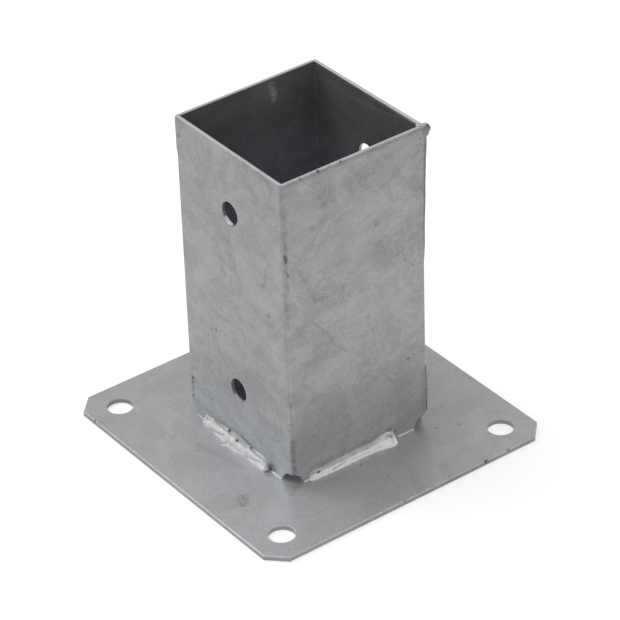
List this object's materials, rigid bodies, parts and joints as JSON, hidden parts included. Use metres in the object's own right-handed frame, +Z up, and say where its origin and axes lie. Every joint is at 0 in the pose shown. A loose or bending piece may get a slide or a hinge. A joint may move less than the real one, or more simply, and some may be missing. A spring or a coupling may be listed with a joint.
{
  "type": "post base",
  "caption": "Bolt-down post base: a square folded-sheet sleeve with cross-bolt holes, welded upright on a flat foot plate with cut corners and anchor holes, galvanised.",
  "frame": {"origin": "middle of the foot plate's underside", "axes": "+Z up the sleeve; the cross bolts run along Y; the front half's fold is at +X -Y and the rear half's at -X +Y"},
  "size_m": [0.15, 0.15, 0.1554],
  "materials": {
    "plate_zinc": "hot-dip galvanised steel, dull, faintly streaked",
    "sleeve_zinc": "hot-dip galvanised sheet steel, dull, faintly streaked",
    "weld_zinc": "weld metal under a thick bright zinc coat"
  },
  "bodies": {
    "root": {"base_plate": "plate_zinc", "front_half_sleeve": "sleeve_zinc", "rear_half_sleeve": "sleeve_zinc", "front_foot_weld": "weld_zinc", "right_foot_weld": "weld_zinc", "rear_foot_weld": "weld_zinc", "left_foot_weld": "weld_zinc", "right_upper_seam_weld": "weld_zinc", "right_lower_seam_weld": "weld_zinc", "left_upper_seam_weld": "weld_zinc", "left_lower_seam_weld": "weld_zinc"}
  },
  "joints": []
}
